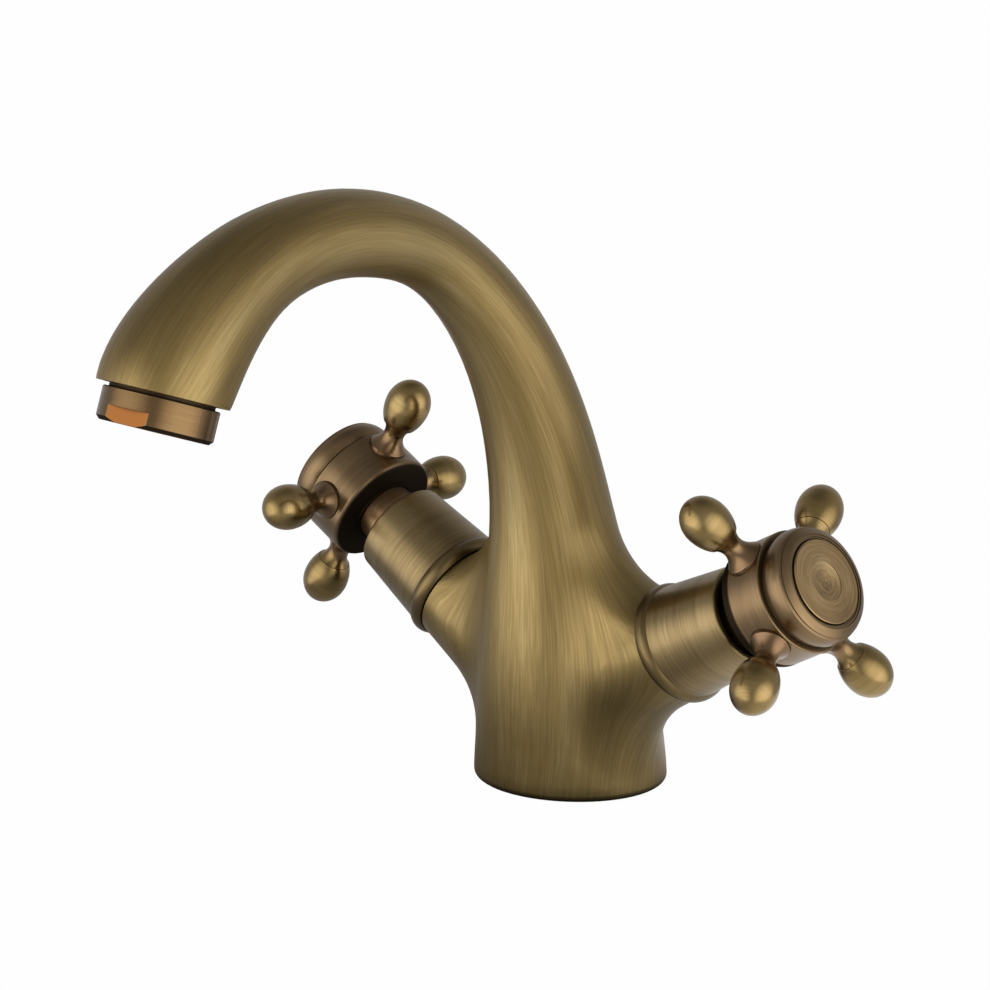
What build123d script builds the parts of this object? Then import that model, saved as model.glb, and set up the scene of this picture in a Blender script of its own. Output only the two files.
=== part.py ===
"""One-hole basin mixer with a swan-neck spout and two cross handles, in millimetres.

The origin is the middle of the foot on the deck, +Z is up, the spout points to -Y, the hot handle is
on -X and the cold handle on +X. Each valve has its own axis, leaning outwards and up from the column.
"""
import os
from math import acos, cos, pi, radians, sin, tan

from build123d import *

# Foot, column and spout: each round section has a share of the reach, a share of the outlet's height
# and its outside radius as a share of the foot's
foot_r = 24.0
outlet_reach = 139.1
outlet_height = 115.3
outlet_tilt = 18.0
body_sections = [
    (0.0, 0.0, 1.0),
    (0.0065, 0.0694, 0.9875),
    (0.0122, 0.1301, 0.9625),
    (0.0230, 0.2082, 0.9250),
    (0.0381, 0.3122, 0.8458),
    (0.0568, 0.4770, 0.7208),
    (0.0762, 0.6071, 0.6292),
    (0.1129, 0.7632, 0.5542),
    (0.1862, 0.9471, 0.4792),
    (0.2933, 1.1050, 0.4167),
    (0.4242, 1.2125, 0.3917),
    (0.5248, 1.2498, 0.4125),
    (0.6255, 1.2628, 0.4292),
    (0.7117, 1.2541, 0.4458),
    (0.7908, 1.2281, 0.4750),
    (0.8735, 1.1735, 0.5333),
    (0.9425, 1.1006, 0.6042),
    (0.9777, 1.0494, 0.6333),
    (1.0, 1.0, 0.6292),
]
foot_edge_r = 1.8

# Valve axes: a point on the middle plane, the lean above level, and the bosses around them
axis_forward = 3.0
axis_height = 21.9
axis_lean = 28.7
boss_length = 40.6
boss_r = 13.7
boss_root_r = 16.2
boss_root = 5.0
boss_blend_r = 26.0
boss_edge = 0.4

# Water passages
waterway_r = 6.2
waterway_start = 34.0
seat_depth = 17.0
chamber_r = 9.3
seat_port_r = 4.0
seat_port_length = 11.0
cross_port_r = 3.2
cross_port_lift = 0.5
cross_port_reach = 16.0

# Underside: two hose inlets, one fixing stud, one gasket
inlet_spread = 8.0
inlet_forward = 5.0
inlet_r = 4.5
inlet_thread_depth = 14.0
inlet_bore_r = 4.0
inlet_bore_depth = 27.0
stud_back = 10.0
stud_r = 3.4
stud_depth = 16.0
gasket_inset = 2.5
gasket_width = 3.0
gasket_height = 2.0

# Clearances
thread_clearance = 0.05
running_clearance = 0.05
seal_clearance = 0.05
turning_gap = 0.35
film_gap = 0.03
seat_clearance = 0.1

# Headwork
thread_r = 10.4
thread_start = 30.5
cage_r = 9.0
cage_start = 19.5
cage_bore_r = 8.3
cage_bore_end = 30.0
window_width = 8.0
window_height = 4.5
window_start = 24.0
shoulder_bore_r = 6.6
shoulder_bore_end = 36.0
washer_height = 1.2
collar_r = 12.4
collar_height = 4.7
hexagon_across = 19.0
hexagon_height = 4.5
nose_r = 7.8
nose_end = 73.0
nose_edge = 0.4

# Ceramic discs and seat seal
seat_seal_height = 3.0
seat_seal_r_in = 6.8
disc_height = 3.0
disc_port_r = 2.0
disc_port_at = 4.6
tongue_width = 2.4
tongue_height = 1.2

# Spindle
spindle_r = 5.0
driver_height = 3.3
shoulder_r = 6.2
thrust_washer_height = 0.8
ring_groove_r = 3.9
ring_groove_width = 1.5
ring_cord = 1.1
ring_places = (58.0, 63.0)
circlip_height = 0.8
circlip_r = 6.4
circlip_groove_r = 4.4
circlip_opening = 3.0
circlip_play = 0.15
spindle_land = 0.5
spline_teeth = 20
spline_r = 4.0
spline_root_r = 3.7

# Trim ring and sleeve
trim_width = 4.0
trim_r = 15.0
trim_edge_r = 14.0
trim_r_in = 12.6
sleeve_end = 66.3
sleeve_rear_r = 14.1
sleeve_front_r = 12.4
sleeve_edge_r = 0.8
sleeve_wall = 1.2
sleeve_thread_length = 10.0

# Handle hub: distances along the valve axis are from the plane of the four levers
lever_plane = 78.5
hub_r = 15.15
hub_back = 7.2
hub_back_edge_r = 1.2
hub_shoulder = 5.3
hub_shoulder_edge_r = 0.4
hub_collar_r = 8.7
hub_collar_height = 0.6
groove_r = 13.6
groove_width = 0.8
spigot_r = 11.6
spigot_length = 3.4
hub_recess_depth = 3.7
hub_floor = 1.5
hub_well_r = 7.5
spindle_set_back = 0.7
lever_seat_r = 14.0

# Levers
lever_count = 4
lever_base_r = 4.8
lever_base_end = 15.9
lever_neck_r = 2.68
lever_neck_at = 19.7
lever_crease_r = 4.0
lever_crease_at = 22.7
lever_crease_step = 0.25
lever_bulb_r = 5.78
lever_bulb_at = 28.6
lever_tip = 35.5
lever_base_edge_r = 0.5
lever_stub_r = 2.5
lever_stub_end = 8.2

# Cap ring and index disc
cap_r = 14.5
cap_waist_r = 13.9
cap_bead_width = 5.0
cap_height = 6.7
cap_edge_r = 13.5
cap_edge_drop = 1.0
cap_line_r = 13.3
cap_dome = 0.08
cap_face_r = 11.7
cap_recess_r = 10.7
cap_recess_depth = 1.4
cap_bore_r = 9.0
cap_step = 0.2
disc_r = 10.4
disc_proud = 0.2
disc_dish_r = 4.9
disc_dish_edge = 0.15
disc_dish_depth = 0.5

# Handle screw
screw_r = 2.5
screw_length = 9.0
screw_head_r = 4.5
screw_head_height = 3.0
screw_drive_across = 3.0
screw_drive_depth = 1.8

# Aerator under the outlet
aerator_thread_r = 12.0
aerator_socket_depth = 9.0
aerator_seal_height = 1.8
aerator_seal_r_in = 8.5
aerator_gap = 0.9
aerator_ring_r = 13.25
aerator_ring_height = 7.6
aerator_top_edge = 0.25
aerator_edge = 0.9
aerator_bore_r = 10.6
aerator_lip = 1.0
aerator_lip_r = 9.6
aerator_flat_turn = 76.3
aerator_flat_half_angle = 24.0
aerator_flat_height = 3.6
insert_height = 11.0
insert_cell_r = 1.2
insert_cell_pitch = 3.4
screen_height = 0.5
screen_hole_r = 0.6
screen_hole_pitch = 1.9

# What differs between the sides: direction, how far the headwork stands out, how the handle is turned
sides = {
    "hot": dict(sign=-1, stand_out=2.3, turn=0.9),
    "cold": dict(sign=1, stand_out=0.0, turn=40.0),
}

# Sizes that follow from the ones above: the gasket, then heights along the valve axis
gasket_r_out = foot_r - gasket_inset
gasket_r_in = gasket_r_out - gasket_width
collar_start = boss_length + washer_height
collar_end = collar_start + collar_height
fixed_disc_start = seat_depth + seat_seal_height
turning_disc_start = fixed_disc_start + disc_height + film_gap
driver_start = turning_disc_start + disc_height
driver_end = driver_start + driver_height
shoulder_end = shoulder_bore_end - thrust_washer_height - film_gap
circlip_start = nose_end + circlip_play
land_end = circlip_start + circlip_height + spindle_land
spindle_end = lever_plane + hub_floor - spindle_set_back
cap_start = hub_shoulder + groove_width
cap_end = cap_start + cap_height
trim_end = boss_length + trim_width


def turned(*outline, rounds=()):
    """Solid of revolution from (radius, height) points; rounds lists corners with their radii."""
    face = make_face(Polyline(*outline, close=True))
    for corner, r in rounds:
        face = fillet(face.vertices().sort_by_distance(Vector(*corner))[0], r)
    return revolve(Plane.XZ * face, Axis.Z)


def ring(r_in, r_out, start, height):
    """Plain ring around the local Z axis."""
    end = start + height
    return turned((r_in, start), (r_out, start), (r_out, end), (r_in, end))


def rod(r, start, end):
    """Plain cylinder on the local Z axis."""
    return Pos(0, 0, start) * Cylinder(r, end - start, align=(Align.CENTER, Align.CENTER, Align.MIN))


def spline_bar(tip_r, root_r, start, end):
    """Toothed bar: a star with one point per tooth, drawn from start to end."""
    corners = []
    for k in range(2 * spline_teeth):
        r = tip_r if k % 2 == 0 else root_r
        a = pi * k / spline_teeth
        corners.append((r * cos(a), r * sin(a)))
    star = make_face(Polyline(*corners, close=True))
    return extrude(Plane.XY.offset(start) * star, end - start)


def oval_arc(height, r, length, start, end):
    """Cubic curve along an ellipse centred on the axis, r wide and length high, between two angles."""
    pull = 4 / 3 * tan((end - start) / 4)
    points = [
        (cos(start), sin(start)),
        (cos(start) - pull * sin(start), sin(start) + pull * cos(start)),
        (cos(end) + pull * sin(end), sin(end) - pull * cos(end)),
        (cos(end), sin(end)),
    ]
    return Bezier(*[(r * x, height + length * y) for x, y in points])


def valve_plane(side):
    """Plane square to a valve axis: its Z runs outwards, its X to the back of the faucet."""
    a = radians(axis_lean)
    outwards = (sides[side]["sign"] * cos(a), 0, sin(a))
    return Plane(origin=(0, -axis_forward, axis_height), x_dir=(0, 1, 0), z_dir=outwards)


def on_valve(side, part, stands_out=True):
    """Put a part drawn around the local Z axis onto a valve axis."""
    lift = sides[side]["stand_out"] if stands_out else 0.0
    return valve_plane(side) * Pos(0, 0, lift) * part


def outlet_plane():
    """Plane of the spout's lip: its Z runs out of the spout, its X to the right."""
    a = radians(outlet_tilt)
    out = (0, -sin(a), -cos(a))
    return Plane(origin=(0, -outlet_reach, outlet_height), x_dir=(1, 0, 0), z_dir=out)


def section_planes():
    """Planes square to the middle line of the body at each of its sections."""
    places = [(0, -outlet_reach * forward, outlet_height * up) for forward, up, r in body_sections]
    line = Spline(*places)
    along = [line.tangent_at(line.param_at_point(place)) for place in places]
    along[0] = Vector(0, 0, 1)
    along[-1] = outlet_plane().z_dir
    return [
        Plane(origin=place, x_dir=Vector(-1, 0, 0).cross(way), z_dir=way)
        for place, way in zip(places, along)
    ]


def body_outside():
    """Foot, column and spout as one skin, with the two bosses blended into it."""
    planes = section_planes()
    skin = loft([p * Circle(foot_r * s[2]) for p, s in zip(planes, body_sections)])
    boss = Cone(boss_root_r, boss_r, boss_length - boss_root, align=(Align.CENTER, Align.CENTER, Align.MIN))
    boss = chamfer(boss.edges().sort_by(Axis.Z)[-1], boss_edge)
    body = skin
    for side in sides:
        body = body + on_valve(side, Pos(0, 0, boss_root) * boss, stands_out=False)
    roots = [
        e
        for e in body.edges().filter_by(GeomType.BSPLINE)
        if abs(e.center().X) > waterway_r and foot_edge_r < e.center().Z < boss_length
    ]
    body = fillet(roots, boss_blend_r)
    return fillet(body.edges().sort_by(Axis.Z)[0], foot_edge_r)


def body_casting():
    """Hollow casting: bosses for the headworks, waterway, inlets and the socket of the aerator."""
    body = body_outside()
    planes = [p for p in section_planes() if p.origin.Z > waterway_start]
    body -= loft([p * Circle(waterway_r) for p in planes])
    for side, s in sides.items():
        seat = seat_depth + s["stand_out"]
        body -= on_valve(side, rod(chamber_r, seat, boss_length), False)
        body -= on_valve(side, rod(thread_r + thread_clearance, thread_start, boss_length), False)
        body -= on_valve(side, rod(seat_port_r, seat - seat_port_length, seat), False)
        inlet = Pos(s["sign"] * inlet_spread, -inlet_forward, 0)
        body -= inlet * rod(inlet_r, 0, inlet_thread_depth)
        body -= inlet * rod(inlet_bore_r, 0, inlet_bore_depth)
    port = rod(cross_port_r, -cross_port_reach, cross_port_reach)
    port_height = planes[0].origin.Z + cross_port_lift
    body -= Pos(0, -inlet_forward, port_height) * Rot(0, 90, 0) * port
    body -= Pos(0, stud_back, 0) * rod(stud_r, 0, stud_depth)
    body -= ring(gasket_r_in, gasket_r_out, 0, gasket_height)
    body -= outlet_plane() * rod(aerator_thread_r + thread_clearance, -aerator_socket_depth, 0)
    return body


def base_gasket():
    """Rubber ring that fills the groove under the foot."""
    return ring(gasket_r_in + seat_clearance, gasket_r_out - seat_clearance, 0, gasket_height)


def drilled_disc(r, hole_r, pitch, start, height):
    """Disc with a honeycomb of holes that stay clear of its rim."""
    count = int(2 * r / pitch) + 1
    holes = [p for p in HexLocations(pitch / 2, count, count) if p.position.length + hole_r < r - hole_r]
    plate = Circle(r) - [p * Circle(hole_r) for p in holes]
    return extrude(Plane.XY.offset(start) * plate, height)


def aerator_seal():
    """Rubber washer on the floor of the spout's socket."""
    return outlet_plane() * ring(
        aerator_seal_r_in, aerator_thread_r - seat_clearance, -aerator_socket_depth, aerator_seal_height
    )


def aerator_housing():
    """Threaded brass ring with a rolled inner lip and two spanner flats."""
    top = aerator_seal_height - aerator_socket_depth
    end = aerator_gap + aerator_ring_height
    edge = aerator_edge
    housing = turned(
        (aerator_bore_r, top),
        (aerator_thread_r, top),
        (aerator_thread_r, aerator_gap),
        (aerator_ring_r - aerator_top_edge, aerator_gap),
        (aerator_ring_r, aerator_gap + aerator_top_edge),
        (aerator_ring_r, end - edge),
        (aerator_ring_r - edge, end),
        (aerator_lip_r, end),
        (aerator_lip_r, end - aerator_lip),
        (aerator_bore_r, end - aerator_lip),
    )
    flat = aerator_ring_r * cos(radians(aerator_flat_half_angle))
    block = Box(
        aerator_ring_r, 2 * aerator_ring_r, aerator_flat_height, align=(Align.MIN, Align.CENTER, Align.MAX)
    )
    for turn in (aerator_flat_turn, aerator_flat_turn + 180):
        housing -= Rot(0, 0, turn) * Pos(flat, 0, end) * block
    return outlet_plane() * housing


def aerator_insert():
    """Plastic honeycomb that stands on the inner lip of the housing."""
    end = aerator_gap + aerator_ring_height - aerator_lip
    r = aerator_bore_r - seat_clearance
    insert = drilled_disc(r, insert_cell_r, insert_cell_pitch, end - insert_height, insert_height)
    return outlet_plane() * insert


def aerator_screen():
    """Sieve on top of the insert."""
    end = aerator_gap + aerator_ring_height - aerator_lip - insert_height
    r = aerator_bore_r - seat_clearance
    screen = drilled_disc(r, screen_hole_r, screen_hole_pitch, end - screen_height, screen_height)
    return outlet_plane() * screen


def trim_ring():
    """Half-round bead that sits on the end of the boss."""
    middle = boss_length + trim_width / 2
    crown = ThreePointArc((trim_edge_r, boss_length), (trim_r, middle), (trim_edge_r, trim_end))
    inside = Polyline(
        (trim_edge_r, trim_end),
        (trim_r_in, trim_end),
        (trim_r_in, boss_length),
        (trim_edge_r, boss_length),
    )
    return revolve(Plane.XZ * make_face([crown, inside]), Axis.Z)


def sleeve():
    """Tapered cover, open at the front, screwed on the collar of the headwork."""
    bore = collar_r + thread_clearance
    thread_end = trim_end + sleeve_thread_length
    front_bore = sleeve_front_r - sleeve_wall
    return turned(
        (bore, trim_end),
        (sleeve_rear_r, trim_end),
        (sleeve_front_r, sleeve_end),
        (front_bore, sleeve_end),
        (front_bore, thread_end),
        (bore, thread_end),
        rounds=[((sleeve_front_r, sleeve_end), sleeve_edge_r)],
    )


def housing_washer(side):
    """Fibre washer between boss and collar, thicker where the headwork stands further out."""
    height = washer_height + sides[side]["stand_out"]
    return ring(thread_r + seat_clearance, collar_r - seat_clearance, boss_length, height)


def cartridge_body():
    """Brass headwork: cage for the discs, thread, collar, hexagon and nose, bored for the spindle."""
    body = turned(
        (0, cage_start),
        (cage_r, cage_start),
        (cage_r, thread_start),
        (thread_r, thread_start),
        (thread_r, collar_start),
        (collar_r, collar_start),
        (collar_r, collar_end),
        (nose_r, collar_end),
        (nose_r, nose_end - nose_edge),
        (nose_r - nose_edge, nose_end),
        (0, nose_end),
    )
    hexagon = RegularPolygon(hexagon_across / 2, 6, major_radius=False)
    body += extrude(Plane.XY.offset(collar_end) * hexagon, hexagon_height)
    body -= rod(cage_bore_r, cage_start, cage_bore_end)
    body -= rod(shoulder_bore_r, cage_bore_end, shoulder_bore_end)
    body -= rod(spindle_r + running_clearance, shoulder_bore_end, nose_end)
    window = Box(4 * cage_r, window_width, window_height, align=(Align.CENTER, Align.CENTER, Align.MIN))
    return body - Pos(0, 0, window_start) * window


def seat_seal():
    """Rubber ring between the valve seat and the fixed disc."""
    return ring(seat_seal_r_in, cage_bore_r - seal_clearance, seat_depth, seat_seal_height)


def ported_disc(r, start, turn):
    """Ceramic disc with two ports."""
    disc = rod(r, start, start + disc_height)
    for a in (turn, turn + 180):
        disc -= Rot(0, 0, a) * Pos(disc_port_at, 0, 0) * rod(disc_port_r, start, start + disc_height)
    return disc


def fixed_disc():
    """Lower ceramic disc, which stands still."""
    return ported_disc(cage_bore_r - seal_clearance, fixed_disc_start, 0)


def tongue(width):
    """Drive tongue across the upper face of the turning disc."""
    height = driver_start - tongue_height
    return Pos(0, 0, height) * Box(
        2 * (cage_bore_r - turning_gap), width, tongue_height, align=(Align.CENTER, Align.CENTER, Align.MIN)
    )


def rotating_disc():
    """Upper ceramic disc, a quarter turn from open, slotted for the spindle's tongue."""
    disc = ported_disc(cage_bore_r - turning_gap, turning_disc_start, 90)
    return disc - tongue(tongue_width)


def spindle():
    """Turned spindle: tongue, driver, shoulder, stem with two ring grooves, splined end with a thread."""
    driver_r = cage_bore_r - turning_gap
    bar = rod(driver_r, driver_start, driver_end)
    bar += tongue(tongue_width) & rod(driver_r, turning_disc_start, driver_start)
    bar += rod(shoulder_r, driver_end, shoulder_end)
    bar += rod(spindle_r, shoulder_end, land_end)
    for place in ring_places:
        bar -= ring(ring_groove_r, 2 * spindle_r, place, ring_groove_width)
    bar -= ring(circlip_groove_r, 2 * spindle_r, circlip_start, circlip_height)
    bar += spline_bar(spline_r, spline_root_r, land_end, spindle_end)
    return bar - rod(screw_r + thread_clearance, spindle_end - screw_length, spindle_end)


def thrust_washer():
    """Slip washer on the shoulder of the spindle."""
    return ring(spindle_r + seat_clearance, shoulder_r, shoulder_end, thrust_washer_height)


def stem_seals():
    """Two rubber rings in the grooves of the spindle."""
    middle_r = ring_groove_r + ring_cord / 2
    cord = Torus(middle_r, ring_cord / 2)
    return Compound(children=[Pos(0, 0, place + ring_groove_width / 2) * cord for place in ring_places])


def circlip():
    """Open retaining ring in the groove beyond the nose."""
    clip = ring(circlip_groove_r + seat_clearance, circlip_r, circlip_start, circlip_height)
    opening = Box(2 * circlip_r, circlip_opening, circlip_height, align=(Align.MIN, Align.CENTER, Align.MIN))
    return clip - Pos(0, 0, circlip_start) * opening


def lever_places(side):
    """Placements of the levers: drawn along their own Z axis, they point out square to the valve axis."""
    step = 360 / lever_count
    turns = [sides[side]["turn"] + step * k for k in range(lever_count)]
    return [Pos(0, 0, lever_plane) * Rot(0, 0, turn) * Rot(0, 90, 0) for turn in turns]


def hub(side):
    """Barrel of the cross handle: splined bore, spot-faced lever seats, well for the screw."""
    collar_back = -hub_back - hub_collar_height
    body = turned(
        (0, collar_back),
        (hub_collar_r, collar_back),
        (hub_collar_r, -hub_back),
        (hub_r, -hub_back),
        (hub_r, hub_shoulder),
        (groove_r, hub_shoulder),
        (groove_r, cap_start),
        (spigot_r, cap_start),
        (spigot_r, cap_start + spigot_length),
        (0, cap_start + spigot_length),
        rounds=[((hub_r, -hub_back), hub_back_edge_r), ((hub_r, hub_shoulder), hub_shoulder_edge_r)],
    )
    body -= rod(nose_r + turning_gap, collar_back, hub_recess_depth - hub_back)
    body -= rod(hub_well_r, hub_floor, cap_start + spigot_length)
    body -= spline_bar(spline_r + running_clearance, spline_root_r + running_clearance, -hub_back, hub_floor)
    body = Pos(0, 0, lever_plane) * body
    for place in lever_places(side):
        body -= place * rod(lever_base_r + seat_clearance, lever_seat_r, hub_r)
        body -= place * rod(lever_stub_r + thread_clearance, lever_stub_end, hub_r)
    return body


def lever():
    """Turned lever along Z: threaded stub, flared base, slim neck and pear-shaped end."""
    bulb_start_r = lever_crease_r + lever_crease_step
    flare = Spline(
        (lever_base_r - lever_base_edge_r, lever_base_end),
        (lever_neck_r, lever_neck_at),
        (lever_crease_r, lever_crease_at),
    )
    rear_angle = acos(bulb_start_r / lever_bulb_r)
    rear_length = (lever_bulb_at - lever_crease_at) / sin(rear_angle)
    bulb_rear = oval_arc(lever_bulb_at, lever_bulb_r, rear_length, -rear_angle, 0)
    bulb_front = oval_arc(lever_bulb_at, lever_bulb_r, lever_tip - lever_bulb_at, 0, pi / 2)
    core = Polyline(
        (0, lever_tip),
        (0, lever_stub_end),
        (lever_stub_r, lever_stub_end),
        (lever_stub_r, lever_seat_r),
        (lever_base_r, lever_seat_r),
        (lever_base_r, lever_base_end - lever_base_edge_r),
        (lever_base_r - lever_base_edge_r, lever_base_end),
    )
    step = Line((lever_crease_r, lever_crease_at), (bulb_start_r, lever_crease_at))
    return revolve(Plane.XZ * make_face([flare, step, bulb_rear, bulb_front, core]), Axis.Z)


def cap_ring():
    """Beaded ring screwed on the hub: a cut line behind its face, a recess for the index disc."""
    bead_end = cap_start + cap_bead_width
    bead_middle = cap_start + cap_bead_width / 2
    edge = (cap_edge_r, cap_end - cap_edge_drop)
    line = (cap_line_r, (bead_end + cap_end - cap_edge_drop) / 2)
    dome = ((cap_edge_r + cap_face_r) / 2, cap_end - cap_edge_drop / 2 + cap_dome)
    step = cap_step
    recess = cap_end - cap_recess_depth
    spigot_end = cap_start + spigot_length
    bead = ThreePointArc((cap_waist_r, cap_start), (cap_r, bead_middle), (cap_waist_r, bead_end))
    cut = Polyline((cap_waist_r, bead_end), line, edge)
    face = ThreePointArc(edge, dome, (cap_face_r, cap_end))
    inside = Polyline(
        (cap_face_r, cap_end),
        (cap_face_r, cap_end - step),
        (cap_recess_r + 2 * step, cap_end - step),
        (cap_recess_r + 2 * step, cap_end - 2 * step),
        (cap_recess_r, cap_end - 2 * step),
        (cap_recess_r, recess),
        (cap_bore_r, recess),
        (cap_bore_r, spigot_end),
        (spigot_r + thread_clearance, spigot_end),
        (spigot_r + thread_clearance, cap_start),
        (cap_waist_r, cap_start),
    )
    return Pos(0, 0, lever_plane) * revolve(Plane.XZ * make_face([bead, cut, face, inside]), Axis.Z)


def index_disc():
    """Spun disc with a shallow round dish in the middle, edged by a small step."""
    back = cap_end - cap_recess_depth
    front = cap_end + disc_proud
    dish_edge = (disc_dish_r, front - disc_dish_edge)
    dish_floor = (0, front - disc_dish_depth)
    dish = TangentArc(dish_floor, dish_edge, tangent=(1, 0))
    outside = Polyline(
        dish_edge,
        (disc_dish_r, front),
        (disc_r - cap_step, front),
        (disc_r, front - cap_step),
        (disc_r, back),
        (0, back),
        dish_floor,
    )
    return Pos(0, 0, lever_plane) * revolve(Plane.XZ * make_face([dish, outside]), Axis.Z)


def handle_screw():
    """Socket screw that draws the hub onto the spindle."""
    seat = lever_plane + hub_floor
    screw = rod(screw_head_r, seat, seat + screw_head_height)
    screw += rod(screw_r, spindle_end + screw_r - screw_length, seat)
    drive = RegularPolygon(screw_drive_across / 2, 6, major_radius=False)
    top = seat + screw_head_height
    return screw - extrude(Plane.XY.offset(top - screw_drive_depth) * drive, screw_drive_depth)


def all_parts():
    """Every node by name."""
    parts = {
        "body_casting": body_casting(),
        "base_gasket": base_gasket(),
        "aerator_housing": aerator_housing(),
        "aerator_insert": aerator_insert(),
        "aerator_screen": aerator_screen(),
        "aerator_seal": aerator_seal(),
    }
    for side in sides:
        parts[side + "_trim_ring"] = on_valve(side, trim_ring(), False)
        parts[side + "_sleeve"] = on_valve(side, sleeve(), False)
        parts[side + "_housing_washer"] = on_valve(side, housing_washer(side), False)
        moved_out = {
            "cartridge_body": cartridge_body(),
            "seat_seal": seat_seal(),
            "fixed_disc": fixed_disc(),
            "rotating_disc": rotating_disc(),
            "spindle": spindle(),
            "thrust_washer": thrust_washer(),
            "stem_seals": stem_seals(),
            "circlip": circlip(),
            "hub": hub(side),
            "cap_ring": cap_ring(),
            "index_disc": index_disc(),
            "handle_screw": handle_screw(),
        }
        for number, place in enumerate(lever_places(side), start=1):
            moved_out["lever_%d" % number] = place * lever()
        for name, part in moved_out.items():
            parts[side + "_" + name] = on_valve(side, part)
    return parts


os.makedirs("parts", exist_ok=True)
for node, shape in all_parts().items():
    export_step(shape, "parts/%s.step" % node)
    print(node, round(shape.volume, 1))
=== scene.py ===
# %% [markdown]
# # A basin mixer in antiqued brass
# The solids of the mixer come ready made, in metres, with the deck at height zero, the spout pointing
# to -Y, the hot handle on -X and the cold handle on +X. This lesson gives each piece its finish, and
# then sets up the camera and the studio. Every shape keeps its place, so the finishes do the work.

# %% Load the solids
import math

import bpy
import numpy as np
from mathutils import Matrix, Vector


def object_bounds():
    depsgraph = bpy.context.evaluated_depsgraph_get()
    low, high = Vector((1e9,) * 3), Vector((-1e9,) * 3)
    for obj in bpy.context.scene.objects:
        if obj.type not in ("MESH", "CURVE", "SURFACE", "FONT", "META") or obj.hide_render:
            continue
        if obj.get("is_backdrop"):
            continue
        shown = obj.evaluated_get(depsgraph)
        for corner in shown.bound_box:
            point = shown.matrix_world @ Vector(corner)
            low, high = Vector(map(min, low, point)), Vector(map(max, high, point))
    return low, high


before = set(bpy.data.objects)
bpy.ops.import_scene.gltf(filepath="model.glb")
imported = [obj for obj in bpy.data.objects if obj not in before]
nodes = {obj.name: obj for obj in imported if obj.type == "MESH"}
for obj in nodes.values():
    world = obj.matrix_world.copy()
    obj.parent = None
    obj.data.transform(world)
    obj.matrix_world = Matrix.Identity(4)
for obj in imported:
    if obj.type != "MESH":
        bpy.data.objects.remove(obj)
solid_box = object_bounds()
print(len(nodes), "pieces,", [round(1000 * (b - a), 1) for a, b in zip(*solid_box)], "mm overall")

# %% [markdown]
# ## Two helpers
# Colours are easiest to judge as the hex values of a picture, but a shader works in linear light, so
# one function converts them. A second one adds a node, sets its properties and fills its inputs with
# either numbers or links. An input is given by its name, or by its number on small nodes such as Math
# and Mix, where names say little. Both helpers keep the finishes below short enough to read.

# %% Colour and node helpers
MM = 0.001


def linear(hex_colour):
    """sRGB hex to linear RGBA: the standard curve, a straight foot and then a 2.4 power."""
    c = np.array([int(hex_colour[k:k + 2], 16) for k in (1, 3, 5)]) / 255
    c = np.where(c <= 0.04045, c / 12.92, ((c + 0.055) / 1.055) ** 2.4)
    return (*c.tolist(), 1.0)


def add(tree, kind, inputs=(), **settings):
    """Add a node, set its properties, then fill inputs given as {name or number: value or socket}."""
    made = tree.nodes.new(kind)
    for key, value in settings.items():
        setattr(made, key, value)
    for key, value in dict(inputs).items():
        if isinstance(value, bpy.types.NodeSocket):
            tree.links.new(value, made.inputs[key])
        else:
            made.inputs[key].default_value = value
    return made


print("antiqued brass in linear light:", [round(v, 3) for v in linear("#8F7846")])

# %% [markdown]
# ## Local frames
# Valves and outlet are turned parts, so their finishes are easiest to write in a frame whose Z axis is
# the axis that the part was turned about. A Mapping node of the texture kind carries Object
# coordinates into such a frame, and its scale turns metres into millimetres. From there, the distance
# from the axis and the height along it are all that a turned finish needs.

# %% Frames of the valves and the outlet
VALVE_POINT = Vector((0, -3.0, 21.9)) * MM  # where the two valve axes meet
VALVE_LEAN = math.radians(28.7)  # how far they rise from the level
OUTLET_POINT = Vector((0, -139.1, 115.3)) * MM  # middle of the spout's lip
OUTLET_TILT = math.radians(18.0)  # how far the water is thrown forwards
SIDES = {"hot": -1, "cold": 1}  # direction of each valve along X


def axes_turn(x_axis, z_axis):
    """Euler angles of the frame whose X and Z axes are given."""
    return Matrix((x_axis, z_axis.cross(x_axis), z_axis)).transposed().to_euler()


def valve_axis(side):
    """Direction of a valve's axis, outwards and up."""
    return Vector((SIDES[side] * math.cos(VALVE_LEAN), 0, math.sin(VALVE_LEAN)))


def local_mm(tree, point, turn):
    """Object coordinates seen from a local frame, in millimetres."""
    place = add(tree, "ShaderNodeTexCoord")
    return add(tree, "ShaderNodeMapping", {
        "Vector": place.outputs["Object"], "Location": point, "Rotation": turn, "Scale": (MM, MM, MM),
    }, vector_type="TEXTURE").outputs["Vector"]


def polar_mm(tree, point, turn):
    """Place across a local Z axis, its length, which is the radius, and the height along the axis."""
    part = add(tree, "ShaderNodeSeparateXYZ", {0: local_mm(tree, point, turn)})
    flat = add(tree, "ShaderNodeCombineXYZ", {"X": part.outputs["X"], "Y": part.outputs["Y"]})
    radius = add(tree, "ShaderNodeVectorMath", {0: flat.outputs[0]}, operation="LENGTH")
    return flat.outputs[0], radius.outputs["Value"], part.outputs["Z"]


valve_turn = {side: axes_turn(Vector((0, 1, 0)), valve_axis(side)) for side in SIDES}
outlet_axis = Vector((0, -math.sin(OUTLET_TILT), -math.cos(OUTLET_TILT)))
outlet_turn = axes_turn(Vector((1, 0, 0)), outlet_axis)
for side, turn in valve_turn.items():
    print(side, "valve frame turned by", [round(math.degrees(v), 1) for v in turn])

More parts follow.
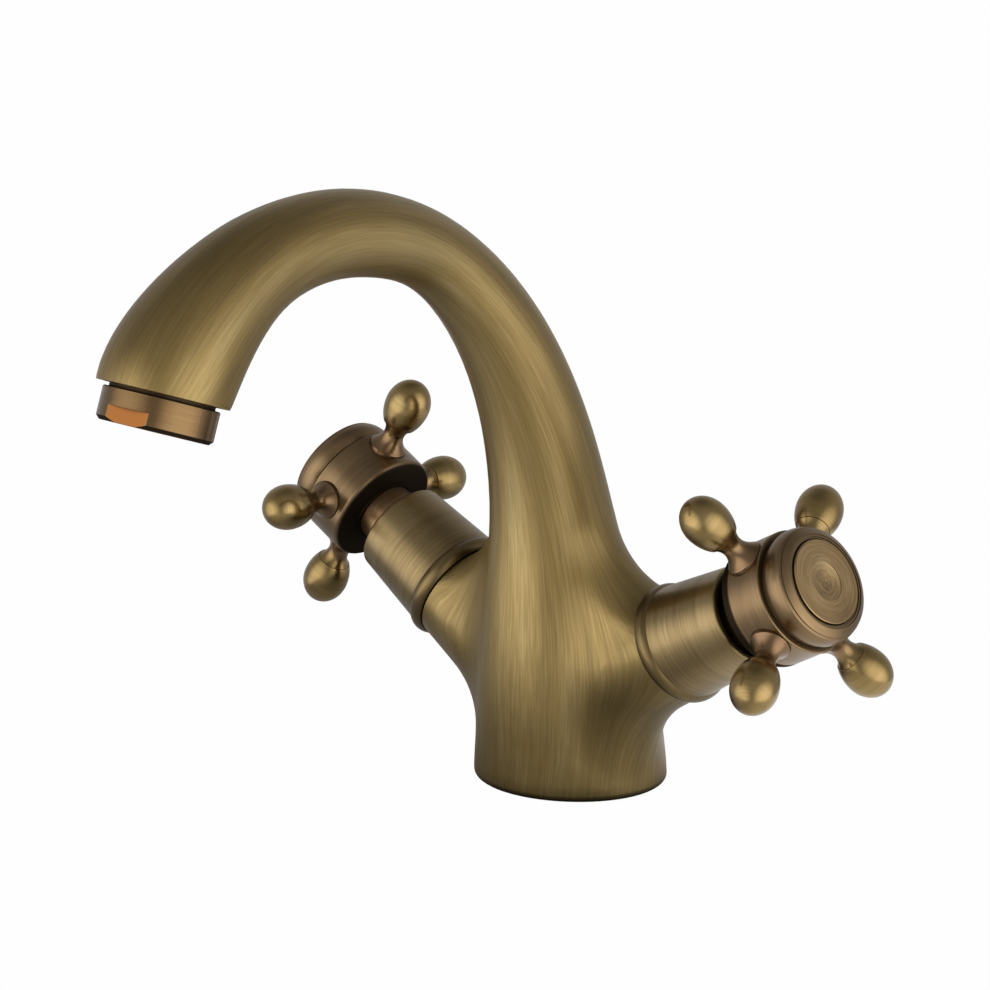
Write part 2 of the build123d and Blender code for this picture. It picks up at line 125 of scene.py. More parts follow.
# %% [markdown]
# ## Brush marks along the body
# Brushed metal looks right only if the scratches run the way the part was worked, and the body was
# brushed along its length. Each function of brushing, here and in the next cells, starts from Object
# coordinates and returns three vectors: one that grows across the scratches and one that grows along
# them, both in millimetres, and the direction in which a highlight is drawn out, which is across the
# scratches too. The body needs no UV map, because its middle line is close to one ellipse: the way
# around that line stays the same along a scratch, while the angle on the ellipse grows.

# %% Directions of brushing
OVAL_CENTRE = (0, -87 * MM, 20 * MM)
OVAL_HALF_WIDE, OVAL_HALF_HIGH = 84.0, 125.6  # half sizes of the ellipse along Y and Z, in mm
OVAL_R = 100.0  # a nominal distance of the body from the ellipse's centre, in mm
BODY_R = 14.0  # a nominal radius of the body, in mm


def across_marks(tree, marks):
    """Direction across the scratches: the normal crossed with their direction, both in the scene's axes."""
    turned = add(tree, "ShaderNodeVectorTransform", {0: marks}, convert_from="OBJECT", convert_to="WORLD")
    normal = add(tree, "ShaderNodeNewGeometry")
    return add(tree, "ShaderNodeVectorMath", {
        0: normal.outputs["Normal"], 1: turned.outputs[0],
    }, operation="CROSS_PRODUCT").outputs[0]


def along_body(tree):
    """Scratches along the body: across is the unit vector around the middle line times the body's radius,
    along is the angle on the ellipse times its nominal radius, and marks is the ellipse's tangent."""
    place = add(tree, "ShaderNodeTexCoord")
    oval = add(tree, "ShaderNodeMapping", {
        "Vector": place.outputs["Object"], "Location": OVAL_CENTRE,
        "Scale": (MM, OVAL_HALF_WIDE * MM, OVAL_HALF_HIGH * MM),
    }, vector_type="TEXTURE")
    part = add(tree, "ShaderNodeSeparateXYZ", {0: oval.outputs[0]})
    x, y, z = part.outputs
    flat = add(tree, "ShaderNodeCombineXYZ", {"Y": y, "Z": z})
    out = add(tree, "ShaderNodeVectorMath", {0: flat.outputs[0]}, operation="LENGTH")
    outside = add(tree, "ShaderNodeMath", {
        0: out.outputs["Value"], 1: OVAL_R, 2: -OVAL_R,
    }, operation="MULTIPLY_ADD")
    from_middle = add(tree, "ShaderNodeCombineXYZ", {"X": x, "Y": outside.outputs[0]})
    around = add(tree, "ShaderNodeVectorMath", {0: from_middle.outputs[0]}, operation="NORMALIZE")
    across = add(tree, "ShaderNodeVectorMath", {0: around.outputs[0], "Scale": BODY_R}, operation="SCALE")
    angle = add(tree, "ShaderNodeMath", {0: y, 1: z}, operation="ARCTAN2")
    angle_mm = add(tree, "ShaderNodeMath", {0: angle.outputs[0], 1: OVAL_R}, operation="MULTIPLY")
    along = add(tree, "ShaderNodeCombineXYZ", {"Z": angle_mm.outputs[0]})
    swapped = add(tree, "ShaderNodeCombineXYZ", {"Y": z, "Z": y})
    marks = add(tree, "ShaderNodeVectorMath", {
        0: swapped.outputs[0], 1: (0, OVAL_HALF_WIDE, -OVAL_HALF_HIGH),
    }, operation="MULTIPLY")
    return across.outputs[0], along.outputs[0], across_marks(tree, marks.outputs[0])


print("body brushed along an ellipse of", 2 * OVAL_HALF_WIDE, "by", 2 * OVAL_HALF_HIGH, "mm")

# %% [markdown]
# ## Marks around an axis
# A lathe leaves rings. Radius plus height grows across them on flat faces and on round sides alike, so
# one sum serves every turned piece. The four levers of a handle were polished on a spindle, each about
# its own axis: of |x| and |y| in the handle's frame, the larger one is the distance out along the
# nearest lever, so one material rings all four.

# %% Directions of turning
TURNED_R = 13.0  # a nominal radius of the turned pieces, in mm
LEVER_ANGLE = {"hot": 0.9, "cold": 40.0}  # degrees that each handle's levers are turned at rest


def cross_to_axis(tree, point, axis):
    """Direction around an axis: the place relative to a point on the axis, crossed with the axis."""
    place = add(tree, "ShaderNodeTexCoord")
    from_axis = add(tree, "ShaderNodeVectorMath", {
        0: place.outputs["Object"], 1: point,
    }, operation="SUBTRACT")
    return add(tree, "ShaderNodeVectorMath", {
        0: from_axis.outputs[0], 1: axis,
    }, operation="CROSS_PRODUCT").outputs[0]


def around_axis(point, turn, axis):
    """Scratches around an axis: radius plus height grows across them, and they run square to the axis."""
    def marks_on(tree):
        flat, radius, height = polar_mm(tree, point, turn)
        way = add(tree, "ShaderNodeVectorMath", {0: flat}, operation="NORMALIZE")
        ring = add(tree, "ShaderNodeMath", {0: radius, 1: height}, operation="ADD")
        across = add(tree, "ShaderNodeCombineXYZ", {"Z": ring.outputs[0]})
        along = add(tree, "ShaderNodeVectorMath", {0: way.outputs[0], "Scale": TURNED_R}, operation="SCALE")
        marks = cross_to_axis(tree, point, axis)
        return across.outputs[0], along.outputs[0], across_marks(tree, marks)
    return marks_on


def around_levers(side):
    """Rings around four levers at once: the larger of |x| and |y| is the distance out along a lever."""
    own_turn = Matrix.Rotation(math.radians(LEVER_ANGLE[side]), 3, "Z")
    turn = (valve_turn[side].to_matrix() @ own_turn).to_euler()

    def marks_on(tree):
        part = add(tree, "ShaderNodeSeparateXYZ", {0: local_mm(tree, VALVE_POINT, turn)})
        x = add(tree, "ShaderNodeMath", {0: part.outputs["X"]}, operation="ABSOLUTE")
        y = add(tree, "ShaderNodeMath", {0: part.outputs["Y"]}, operation="ABSOLUTE")
        out = add(tree, "ShaderNodeMath", {0: x.outputs[0], 1: y.outputs[0]}, operation="MAXIMUM")
        aside = add(tree, "ShaderNodeMath", {0: x.outputs[0], 1: y.outputs[0]}, operation="MINIMUM")
        across = add(tree, "ShaderNodeCombineXYZ", {"X": out.outputs[0]})
        along = add(tree, "ShaderNodeCombineXYZ", {"Y": aside.outputs[0], "Z": part.outputs["Z"]})
        outwards = add(tree, "ShaderNodeVectorMath", {
            0: cross_to_axis(tree, VALVE_POINT, valve_axis(side)), 1: valve_axis(side),
        }, operation="CROSS_PRODUCT")
        turned = add(tree, "ShaderNodeVectorTransform", {
            0: outwards.outputs[0],
        }, convert_from="OBJECT", convert_to="WORLD")
        return across.outputs[0], along.outputs[0], turned.outputs[0]
    return marks_on


print("levers stand at", LEVER_ANGLE, "degrees")

# %% [markdown]
# ## Streaks of the brush
# Brushing leaves scratches of many widths, so three noises are stretched along the marks: fine
# scratches, wider ones, and broad soft bands where the brush pressed harder. Real fine scratches are
# about 0.1 mm wide. They are drawn three times as wide here, because anything finer would not show in
# the picture.

# %% Streak layers
STREAK_SIZES = [(0.28, 12), (0.7, 30), (9, 70)]  # width and length in mm
WIDER_SHARE = 0.35  # of the wider scratches among all scratches
BAND_SHARE = 0.5  # of the bands in the whole


def streak_layers(tree, across, along):
    """A noise for each size of streak: fast across the scratches and slow along them."""
    layers = []
    for width, length in STREAK_SIZES:
        slow = add(tree, "ShaderNodeVectorMath", {0: along, "Scale": 1 / length}, operation="SCALE")
        place = add(tree, "ShaderNodeVectorMath", {
            0: across, 1: (1 / width, 1 / width, 1 / width), 2: slow.outputs[0],
        }, operation="MULTIPLY_ADD")
        noise = add(tree, "ShaderNodeTexNoise", {"Vector": place.outputs[0], "Scale": 1, "Detail": 2})
        layers.append(noise.outputs[0])
    return layers


print(len(STREAK_SIZES), "layers of streaks")

# %% [markdown]
# ## Antiqued brass
# The mixer is cast brass that was darkened with a patina, brushed back and lacquered. Bright lines of
# bare metal lie over a darker ground. The patina colour fills recesses and gaps, where it is partly
# real patina and partly painted shade, and covers the back of the hub and the aerator's lower edge;
# the clear lacquer adds a pale sheen where the metal is bright. One function makes this finish in all
# its tones: the streaks choose the colour, occlusion finds the recesses to paint dark, and the finest
# streak also changes the roughness and lifts a tiny bump. Anisotropy draws the highlights out across
# the scratches, as on the real metal.

# %% Finish of brushed, antiqued metal
STREAK_LOW, STREAK_HIGH = 0.36, 0.64  # the part of the mixed noise that runs from dark to light
SCRATCH_LOW, SCRATCH_HIGH = 0.3, 0.7  # the part of the finest noise that changes the roughness
ROUGHNESS_SPREAD = 0.08
SCRATCH_BUMP, SCRATCH_DEPTH = 0.2, 0.03 * MM
# dark colour that stands for patina and for painted shade in recesses and gaps
PATINA_AND_SHADE = "#31281E"
PATINA_ROUGHNESS = 0.6
PATINA_EDGE = 0.55  # how much of the metal's glint at grazing angles the patina and the painted shade keep
PATINA_AND_SHADE_REACH = 6 * MM  # surfaces nearer to each other than this get patina and painted shade between them
HIDDEN, OPEN = 0.2, 0.8  # openness of a recess that is all patina and painted shade, and of a face that is all bright metal
LACQUER, LACQUER_ROUGHNESS = 0.4, 0.3


def antiqued(name, brushing, tones, roughness, drawn_out=0.6, tinted=None, dulled_and_shaded=None):
    """Metal whose colour runs through three tones with the streaks, and to the patina colour in recesses,
    where it stands for patina and painted shade. drawn_out is the anisotropy, tinted is a colour with a
    function that gives its share at each point, and the last argument is a function that gives the share
    of patina and painted shade on open faces."""
    made = bpy.data.materials.new(name)
    made.use_nodes = True
    tree = made.node_tree
    shader = tree.nodes["Principled BSDF"]
    across, along, tangent = brushing(tree)
    fine, wider, band = streak_layers(tree, across, along)
    lines = add(tree, "ShaderNodeMix", {0: WIDER_SHARE, 2: fine, 3: wider})
    streak = add(tree, "ShaderNodeMix", {0: BAND_SHARE, 2: lines.outputs[0], 3: band})
    tone = add(tree, "ShaderNodeMapRange", {
        "Value": streak.outputs[0], "From Min": STREAK_LOW, "From Max": STREAK_HIGH,
    })
    ramp = add(tree, "ShaderNodeValToRGB", {0: tone.outputs[0]})
    stops = ramp.color_ramp.elements
    stops[0].color = linear(tones[0])
    stops[1].color = linear(tones[2])
    stops.new(0.5).color = linear(tones[1])
    colour = ramp.outputs[0]
    if tinted:
        colour = add(tree, "ShaderNodeMix", {
            0: tinted[1](tree), 6: colour, 7: linear(tinted[0]),
        }, data_type="RGBA").outputs[2]
    # Occlusion paints shade: recesses, gaps and the foot's edge at the table take the patina colour, partly
    # as patina and partly as painted shade.
    ao_openness = add(tree, "ShaderNodeAmbientOcclusion", {"Distance": PATINA_AND_SHADE_REACH}, samples=8)
    rubbed_and_unshaded = add(tree, "ShaderNodeMapRange", {
        "Value": ao_openness.outputs["AO"], "From Min": HIDDEN, "From Max": OPEN,
    }).outputs[0]
    if dulled_and_shaded:
        rubbed_and_unshaded = add(tree, "ShaderNodeMix", {0: dulled_and_shaded(tree), 2: rubbed_and_unshaded, 3: 0.0}).outputs[0]
    colour_with_patina_and_shade = add(tree, "ShaderNodeMix", {
        0: rubbed_and_unshaded, 6: linear(PATINA_AND_SHADE), 7: colour,
    }, data_type="RGBA")
    spread = ROUGHNESS_SPREAD * drawn_out
    brushed = add(tree, "ShaderNodeMapRange", {
        "Value": fine, "From Min": SCRATCH_LOW, "From Max": SCRATCH_HIGH,
        "To Min": roughness + spread, "To Max": roughness - spread,
    })
    rough = add(tree, "ShaderNodeMix", {0: rubbed_and_unshaded, 2: PATINA_ROUGHNESS, 3: brushed.outputs[0]})
    edge = add(tree, "ShaderNodeMapRange", {"Value": rubbed_and_unshaded, "To Min": PATINA_EDGE})
    lacquer = add(tree, "ShaderNodeMath", {0: rubbed_and_unshaded, 1: LACQUER}, operation="MULTIPLY")
    bump = add(tree, "ShaderNodeBump", {
        "Height": fine, "Strength": SCRATCH_BUMP * drawn_out, "Distance": SCRATCH_DEPTH,
    })
    tree.links.new(colour_with_patina_and_shade.outputs[2], shader.inputs["Base Color"])
    tree.links.new(rough.outputs[0], shader.inputs["Roughness"])
    tree.links.new(edge.outputs[0], shader.inputs["Specular Tint"])
    tree.links.new(bump.outputs[0], shader.inputs["Normal"])
    tree.links.new(tangent, shader.inputs["Tangent"])
    tree.links.new(lacquer.outputs[0], shader.inputs["Coat Weight"])
    shader.inputs["Metallic"].default_value = 1.0
    shader.inputs["Anisotropic"].default_value = drawn_out
    shader.inputs["Coat Roughness"].default_value = LACQUER_ROUGHNESS
    return made


def dress(material, *names):
    """Give a material to pieces by name."""
    for name in names:
        nodes[name].data.materials.clear()
        nodes[name].data.materials.append(material)


print("patina", PATINA_AND_SHADE, "keeps gaps under", PATINA_AND_SHADE_REACH / MM, "mm dark")

# %% [markdown]
# ## Body
# The casting carries the eye, so its tones set the look of the whole mixer: olive brass, satin rather
# than bright, with streaks that are seen only from close by. Its highlights are long, soft bands.

# %% Finish of the body
# Brass brushed lengthwise: olive satin with soft, long highlights.
body_brass = antiqued("brass_brushed_lengthwise", along_body, ("#7B663B", "#8F7846", "#A38E5E"), 0.41, 0.5)
dress(body_brass, "body_casting")
print("body finish:", len(body_brass.node_tree.nodes), "nodes")

# %% [markdown]
# ## Turned pieces on each valve
# Sleeve, trim ring, hub, cap ring, headwork and index disc were all turned, so their scratches go
# around the valve axis. The trim ring kept more of its dark ground than the sleeve, and the hub and the
# cap ring kept a warm, coppery tone. The back of the hub is all in the dark patina colour, as patina
# and as painted shade. The headwork, seen in the gap behind the hub, is machined and reddish, and the
# index disc was spun until its rings show.

# %% Finishes around the valve axes
HUB_BACK = 73.6  # mm along the valve axis
BACK_FULL, BACK_GONE = 0.1, 0.6  # mm in front of the hub's back, between which its patina and painted shade fade
TURNED_TONES = {
    "sleeve": ("#76613E", "#89734B", "#9C875D"),  # brushed in rings: satin, a little greyer than the body
    "trim": ("#614F2C", "#735F39", "#877248"),  # brushed less: a brown line between body and sleeve
    "hub": ("#6D573C", "#806746", "#8E7553"),  # coppery patina: warm brown with soft glints
    "neck": ("#775A3E", "#96744F", "#AE8B63"),  # machined: pale and reddish
    "disc": ("#6A5437", "#A5885C", "#CBAF80"),  # spun: strong rings, dark and light
}


def at_hub_back(side):
    """Share of patina and painted shade on a hub: all on its back face, none further out along the axis."""
    def share(tree):
        part = add(tree, "ShaderNodeSeparateXYZ", {0: local_mm(tree, VALVE_POINT, valve_turn[side])})
        return add(tree, "ShaderNodeMapRange", {
            "Value": part.outputs["Z"], "From Min": HUB_BACK + BACK_GONE, "From Max": HUB_BACK + BACK_FULL,
        }).outputs[0]
    return share


def turned_finishes(side):
    """Dress the turned pieces of one valve. Their finishes share the marks and differ in tone and gloss,
    and the hub's keeps patina and painted shade on the back."""
    marks = around_axis(VALVE_POINT, valve_turn[side], valve_axis(side))
    tones = TURNED_TONES
    dress(antiqued(side + "_brass_turned", marks, tones["sleeve"], 0.35), side + "_sleeve")
    dress(antiqued(side + "_brass_turned_dark", marks, tones["trim"], 0.34), side + "_trim_ring")
    coppery = antiqued(side + "_brass_coppery_patina", marks, tones["hub"], 0.33, dulled_and_shaded=at_hub_back(side))
    dress(coppery, side + "_hub", side + "_cap_ring")
    machined = antiqued(side + "_brass_machined", marks, tones["neck"], 0.36)
    dress(machined, side + "_cartridge_body", side + "_spindle")
    dress(antiqued(side + "_brass_spun", marks, tones["disc"], 0.36, 0.3), side + "_index_disc")


for side in SIDES:
    turned_finishes(side)
print("turned pieces dressed in", len(TURNED_TONES), "tones on each side")

# %% [markdown]
# ## Levers
# The levers are olive like the body but polished, so each bulb mirrors the two soft panels of the
# studio. Their feet share the coppery tone of the hub, which fades out along the neck.

# %% Finish of the levers
LEVERS = 4  # on each handle
FOOT_TONE = "#7C6042"
FOOT_FROM, FOOT_TO = 17, 24  # mm from the valve axis between which the foot's tone fades


def lever_foot(side):
    """Share of the hub's tone on a lever: all at the hub, none past the neck."""
    def share(tree):
        radius = polar_mm(tree, VALVE_POINT, valve_turn[side])[1]
        return add(tree, "ShaderNodeMapRange", {
            "Value": radius, "From Min": FOOT_TO, "From Max": FOOT_FROM,
        }, interpolation_type="SMOOTHSTEP").outputs[0]
    return share


for side in SIDES:
    # Polished brass: clear highlights with faint rings.
    polished = antiqued(
        side + "_brass_polished_levers", around_levers(side), ("#816A3E", "#917949", "#9E8556"), 0.25, 0.25,
        tinted=(FOOT_TONE, lever_foot(side)),
    )
    dress(polished, *[side + "_lever_%d" % k for k in range(1, LEVERS + 1)])
print(LEVERS * len(SIDES), "levers dressed")

# %% [markdown]
# ## The aerator
# The aerator ring under the spout is turned brass with a copper tone, and its spanner flats show the
# bare orange metal. A point on a flat lies nearer to the outlet's axis than the round side does, so
# the radius tells the flats from the rest, and the height keeps the tint off the thread and the edge.
# The lower edge is painted dark as shade, on the faces that look along the axis.

# %% Aerator finish
BARE_TONE = "#8C5520"
FLAT_R, FLAT_FADE = 13.15, 0.05  # mm: just under the round side's radius, and half the width of the fade
FLAT_MIDDLE, FLAT_HALF = 6.6, 2.0  # mm: the flats' middle below the lip, and half their height
EDGE_FROM, EDGE_TO = 0.3, 0.5  # cosine between a face's normal and the outlet's axis


def on_flats(tree):
    """Share of bare metal: all where the radius is under the round side's and the height is on a flat."""
    _, radius, height = polar_mm(tree, OUTLET_POINT, outlet_turn)
    inside = add(tree, "ShaderNodeMapRange", {
        "Value": radius, "From Min": FLAT_R + FLAT_FADE, "From Max": FLAT_R - FLAT_FADE,
    })
    level = add(tree, "ShaderNodeMath", {0: height, 1: FLAT_MIDDLE, 2: FLAT_HALF}, operation="COMPARE")
    both = add(tree, "ShaderNodeMath", {0: inside.outputs[0], 1: level.outputs[0]}, operation="MULTIPLY")
    return both.outputs[0]


def shade_on_lower_edge(tree):
    """Share of painted shade: all on faces turned towards the water's way out, none on the sides."""
    normal = add(tree, "ShaderNodeNewGeometry")
    facing = add(tree, "ShaderNodeVectorMath", {
        0: normal.outputs["Normal"], 1: outlet_axis,
    }, operation="DOT_PRODUCT")
    return add(tree, "ShaderNodeMapRange", {
        "Value": facing.outputs["Value"], "From Min": EDGE_FROM, "From Max": EDGE_TO,
    }).outputs[0]


# Copper-toned brass: the glossiest turned piece, with orange flats and a lower edge painted dark as shade.
aerator_brass = antiqued(
    "brass_copper_tone", around_axis(OUTLET_POINT, outlet_turn, outlet_axis),
    ("#6E5431", "#785C37", "#826540"), 0.24, 0.2, tinted=(BARE_TONE, on_flats), dulled_and_shaded=shade_on_lower_edge,
)
dress(aerator_brass, "aerator_housing")
print("aerator finish:", len(aerator_brass.node_tree.nodes), "nodes")

# %% [markdown]
# ## Inner pieces
# Rubber, plastic, fibre, ceramic and steel are mostly hidden inside. They still get what the real
# material shows: a cloudy tone, its own gloss and a fine grain, from one shared function.

# %% Plain finishes
GRAIN_BUMP, GRAIN_DEPTH = 0.2, 0.05 * MM


def plain(name, colour, darker, roughness, metallic=0.0, grain_mm=1.5):
    """Material with a cloudy tone between two colours and a fine bump; grain_mm is the cloud's size."""
    made = bpy.data.materials.new(name)
    made.use_nodes = True
    tree = made.node_tree
    shader = tree.nodes["Principled BSDF"]
    place = add(tree, "ShaderNodeTexCoord")
    cloud = add(tree, "ShaderNodeTexNoise", {
        "Vector": place.outputs["Object"], "Scale": 1 / (grain_mm * MM), "Detail": 4,
    })
    tint = add(tree, "ShaderNodeMix", {
        0: cloud.outputs[0], 6: linear(darker), 7: linear(colour),
    }, data_type="RGBA")
    bump = add(tree, "ShaderNodeBump", {
        "Height": cloud.outputs[0], "Strength": GRAIN_BUMP, "Distance": GRAIN_DEPTH,
    })
    tree.links.new(tint.outputs[2], shader.inputs["Base Color"])
    tree.links.new(bump.outputs[0], shader.inputs["Normal"])
    shader.inputs["Roughness"].default_value = roughness
    shader.inputs["Metallic"].default_value = metallic
    return made


rubber = plain("rubber_black", "#2A2927", "#151514", 0.7)  # soft and dull, nearly black
fibre = plain("fibre_red", "#7A3B2C", "#5A281E", 0.8, grain_mm=0.8)  # brick red and dry
ceramic = plain("ceramic_lapped", "#E9E6DC", "#D9D5C8", 0.2)  # ivory with a clear gloss
acetal = plain("acetal_white", "#DCD9CF", "#C8C4B8", 0.45)  # milky and waxy
steel = plain("steel_machined", "#9A9A98", "#82827F", 0.32, 1.0, 0.6)  # grey with a satin glint
dress(rubber, "base_gasket", "aerator_seal")
dress(acetal, "aerator_insert")
dress(steel, "aerator_screen")
for side in SIDES:
    dress(rubber, side + "_seat_seal", side + "_stem_seals")
    dress(fibre, side + "_housing_washer")
    dress(ceramic, side + "_fixed_disc", side + "_rotating_disc")
    dress(acetal, side + "_thrust_washer")
    dress(steel, side + "_circlip", side + "_handle_screw")
bare = [name for name, piece in nodes.items() if not any(m and m.use_nodes for m in piece.data.materials)]
print("pieces without a finish:", bare)

# %% [markdown]
# ## Camera
# The camera stands where the photograph was taken: to the front right, a little above, with a long
# lens so that the lines hardly converge. Its three axes are worked out from the angles, tilted by the
# small roll of the picture, and written into its matrix.

# %% Camera at the photograph's angle
AZIMUTH, ELEVATION, ROLL = (math.radians(v) for v in (42.71, 12.87, 1.55))
CAMERA_PLACE = (-19.01, 70.09, 1018.15)  # mm to the right, up and back from the foot
back = Vector((
    math.sin(AZIMUTH) * math.cos(ELEVATION), -math.cos(AZIMUTH) * math.cos(ELEVATION), math.sin(ELEVATION)
))
level = Vector((math.cos(AZIMUTH), math.sin(AZIMUTH), 0))
upright = back.cross(level)
right = math.cos(ROLL) * level + math.sin(ROLL) * upright
up = math.cos(ROLL) * upright - math.sin(ROLL) * level
lens = bpy.data.cameras.new("camera")
lens.sensor_width = 36
lens.lens = 147.93
lens.clip_start = 0.05
camera = bpy.data.objects.new("camera", lens)
axes = Matrix((right, up, back)).transposed()
spot = axes @ Vector(CAMERA_PLACE) * MM
camera.matrix_world = Matrix.Translation(spot) @ axes.to_4x4()
bpy.context.scene.collection.objects.link(camera)
bpy.context.scene.camera = camera
print("camera at", [round(v, 3) for v in spot])

# %% [markdown]
# ## Studio
# The photograph is lit from both sides by large soft panels and hardly at all from above or in front:
# the column has a bright band to the left and another to the right, and a darker one between them.
# Satin metal is drawn by what it mirrors, so the panels stand where those bands reflect, which is a
# little below the level of the table. They are painted into the world as round patches with soft
# edges, which needs no lamps and gives no hard rims. The room between them is grey and darkens
# overhead and underfoot, less so on the camera's side. The camera itself sees a white backdrop.

# %% World with soft panels
ROOM = 0.47  # light of the room at eye level
ROOM_DROP = 0.33  # how much of it is gone straight above and below
ROOM_FRONT = 0.3  # how much less that is towards the camera, and more away from it
ROOM_POWER = 4.0  # the drop grows with this power of the height, so it stays near the poles
BACKDROP = 0.991  # white to the camera, the same shade as the table
PANELS = [
    # azimuth from the camera and height in degrees, half widths in degrees of the full part and at the
    # faded edge, width to height, strength
    (-61, -8, 20, 50, 1.15, 1.58),
    (50, -7, 16, 52, 1.1, 1.7),
]


def level_way(azimuth):
    """Level direction at an azimuth from the camera, in degrees."""
    a = AZIMUTH + math.radians(azimuth)
    return Vector((math.sin(a), -math.cos(a), 0))


def patch(tree, way, centre, full, edge, strength=1.0):
    """Round patch around a direction: the cosine to its centre, mapped from the edge to the full part."""
    facing = add(tree, "ShaderNodeVectorMath", {0: way, 1: centre}, operation="DOT_PRODUCT")
    return add(tree, "ShaderNodeMapRange", {
        "Value": facing.outputs["Value"], "From Min": math.cos(math.radians(edge)),
        "From Max": math.cos(math.radians(full)), "To Max": strength,
    }).outputs[0]


world = bpy.data.worlds.new("studio")
bpy.context.scene.world = world
world.use_nodes = True
tree = world.node_tree
way = add(tree, "ShaderNodeTexCoord").outputs["Generated"]
part = add(tree, "ShaderNodeSeparateXYZ", {0: way})
front = add(tree, "ShaderNodeVectorMath", {0: way, 1: back}, operation="DOT_PRODUCT")
rise = add(tree, "ShaderNodeMath", {0: part.outputs["Z"], 1: ROOM_POWER}, operation="POWER")
slope = add(tree, "ShaderNodeMath", {
    0: front.outputs["Value"], 1: ROOM_FRONT, 2: -ROOM_DROP,
}, operation="MULTIPLY_ADD")
total = add(tree, "ShaderNodeMath", {
    0: slope.outputs[0], 1: rise.outputs[0], 2: ROOM,
}, operation="MULTIPLY_ADD").outputs[0]
for azimuth, height, full, edge, squash, strength in PANELS:
    drop = -squash * math.sin(math.radians(height))
    tall = add(tree, "ShaderNodeVectorMath", {
        0: way, 1: (1, 1, squash), 2: (0, 0, drop),
    }, operation="MULTIPLY_ADD")
    wide = add(tree, "ShaderNodeVectorMath", {0: tall.outputs[0]}, operation="NORMALIZE")
    panel = patch(tree, wide.outputs[0], level_way(azimuth), full, edge, strength)
    total = add(tree, "ShaderNodeMath", {0: panel, 1: total}).outputs[0]
room = tree.nodes["Background"]
room.inputs["Color"].default_value = (1, 1, 1, 1)
tree.links.new(total, room.inputs["Strength"])
path = add(tree, "ShaderNodeLightPath")
white = add(tree, "ShaderNodeBackground", {"Color": (1, 1, 1, 1), "Strength": BACKDROP})
mixed = add(tree, "ShaderNodeMixShader", {
    0: path.outputs["Is Camera Ray"], 1: room.outputs[0], 2: white.outputs[0],
})
tree.links.new(mixed.outputs[0], tree.nodes["World Output"].inputs["Surface"])
bpy.context.scene.view_settings.view_transform = "Standard"
print(len(PANELS), "soft panels")

# %% [markdown]
# ## Table
# The mixer stands on a small round table of white paper. It is small so that the panels, which reach
# below its level, still show in the undersides, and white to the camera so that it melts into the
# backdrop. The metal mirrors it as the photograph shows it: dim in the shade of the foot, brighter
# further out, and brightest in soft pools to the right, in front and to the left.

# %% Floor
TABLE_R = 0.17  # metres, as the other radii here
TABLE_CORNERS = 64
TABLE_WHITE = 0.985  # share of plain white in what the camera sees; the rest keeps the shadow
SHADE, SHADE_R = 0.15, 0.03  # brightness of the mirrored paper in the foot's shade, out to this radius
PAPER, PAPER_R = 0.3, 0.08  # and in the open, from this radius on
POOLS = [
    # azimuth from the camera and half widths in degrees of the full part and at the faded edge,
    # radii in metres between which the pool grows, strength
    (-50, 25, 55, 0.06, 0.14, 0.3),
    (10, 50, 110, 0.03, 0.08, 0.2),
    (90, 45, 85, 0.02, 0.05, 0.55),
]
floor_mesh = bpy.data.meshes.new("floor")
turn = np.linspace(0, 2 * np.pi, TABLE_CORNERS, endpoint=False)
rim = np.stack([TABLE_R * np.cos(turn), TABLE_R * np.sin(turn), np.zeros(TABLE_CORNERS)], axis=1)
floor_mesh.from_pydata(rim.tolist(), [], [list(range(TABLE_CORNERS))])
floor = bpy.data.objects.new("floor", floor_mesh)
bpy.context.scene.collection.objects.link(floor)
floor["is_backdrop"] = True
print("table", 2 * TABLE_R, "m across")

# %% [markdown]
# ## Paper of the table
# Paper is a rough white surface, which a Principled shader gives. Light Path tells who looks: the
# camera sees white with a trace of shadow, mirrored and refracted rays see the pools, and all other
# rays see the paper itself.

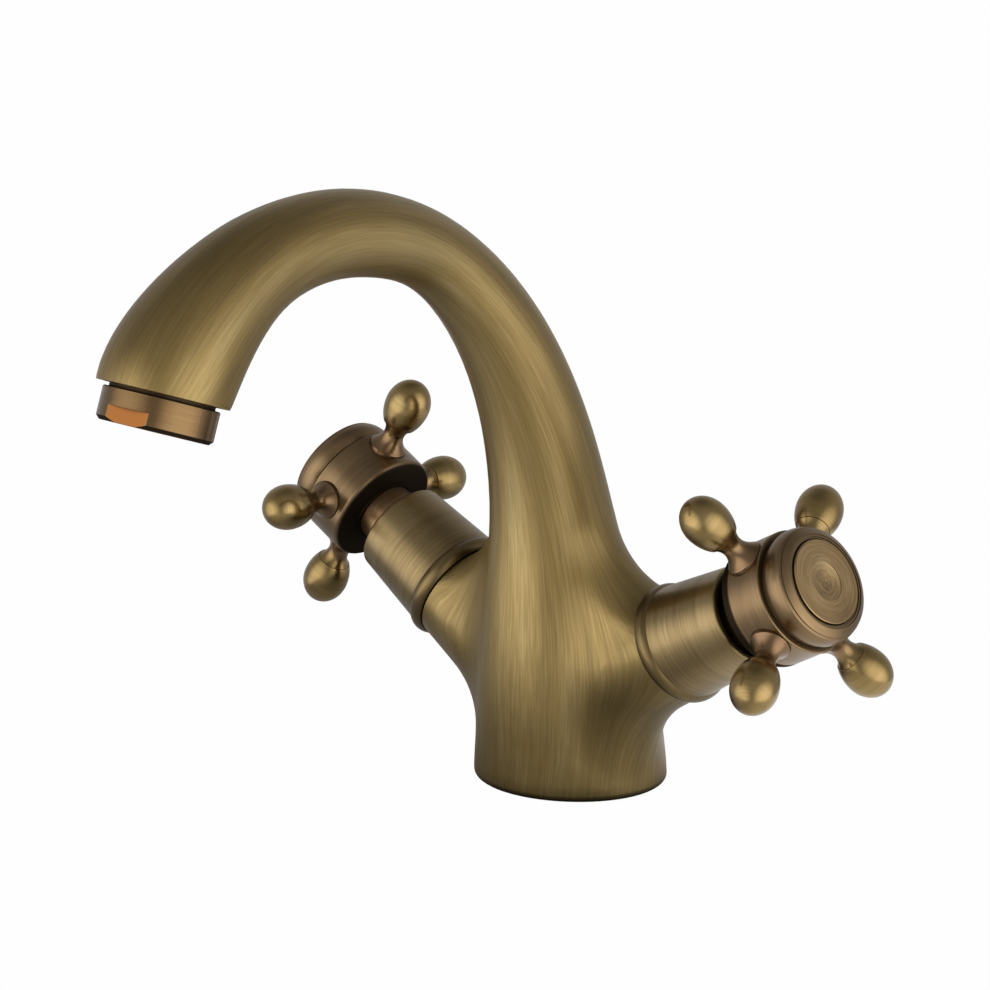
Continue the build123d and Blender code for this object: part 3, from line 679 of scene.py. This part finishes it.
# %% Paper with pools of light
paper = bpy.data.materials.new("paper_white")
paper.use_nodes = True
tree = paper.node_tree
surface = tree.nodes["Principled BSDF"]
surface.inputs["Base Color"].default_value = linear("#F2F2F0")
surface.inputs["Roughness"].default_value = 0.9
place = add(tree, "ShaderNodeTexCoord").outputs["Object"]
away = add(tree, "ShaderNodeVectorMath", {0: place}, operation="LENGTH").outputs["Value"]
around = add(tree, "ShaderNodeVectorMath", {0: place}, operation="NORMALIZE").outputs[0]
pools = 0.0
for azimuth, full, edge, near, far, strength in POOLS:
    grown = add(tree, "ShaderNodeMapRange", {
        "Value": away, "From Min": near, "From Max": far, "To Max": strength,
    })
    pools = add(tree, "ShaderNodeMath", {
        0: patch(tree, around, level_way(azimuth), full, edge), 1: grown.outputs[0], 2: pools,
    }, operation="MULTIPLY_ADD").outputs[0]
open_paper = add(tree, "ShaderNodeMapRange", {
    "Value": away, "From Min": SHADE_R, "From Max": PAPER_R, "To Min": SHADE, "To Max": PAPER,
})
mirrored = add(tree, "ShaderNodeMath", {0: pools, 1: open_paper.outputs[0]}, use_clamp=True)
path = add(tree, "ShaderNodeLightPath").outputs
bent = add(tree, "ShaderNodeMath", {
    0: path["Is Glossy Ray"], 1: path["Is Transmission Ray"],
}, operation="MAXIMUM")
glow = add(tree, "ShaderNodeMix", {0: path["Is Camera Ray"], 2: mirrored.outputs[0], 3: 1.0})
share = add(tree, "ShaderNodeMix", {0: path["Is Camera Ray"], 2: bent.outputs[0], 3: TABLE_WHITE})
light = add(tree, "ShaderNodeEmission", {"Color": (1, 1, 1, 1), "Strength": glow.outputs[0]})
mixed = add(tree, "ShaderNodeMixShader", {
    0: share.outputs[0], 1: surface.outputs[0], 2: light.outputs[0],
})
tree.links.new(mixed.outputs[0], tree.nodes["Material Output"].inputs["Surface"])
floor_mesh.materials.append(paper)
print(len(POOLS), "pools of light on the paper")

# %% [markdown]
# ## Last step
# The box of the dressed model is set against the box of the bare solids, and how much it grew is
# printed: the finishes must not have changed the size.

# %% Growth of the box
new_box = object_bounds()
growth = np.abs(np.array(new_box)) - np.abs(np.array(solid_box))
print("growth in mm:", (1000 * growth).round(2).tolist())
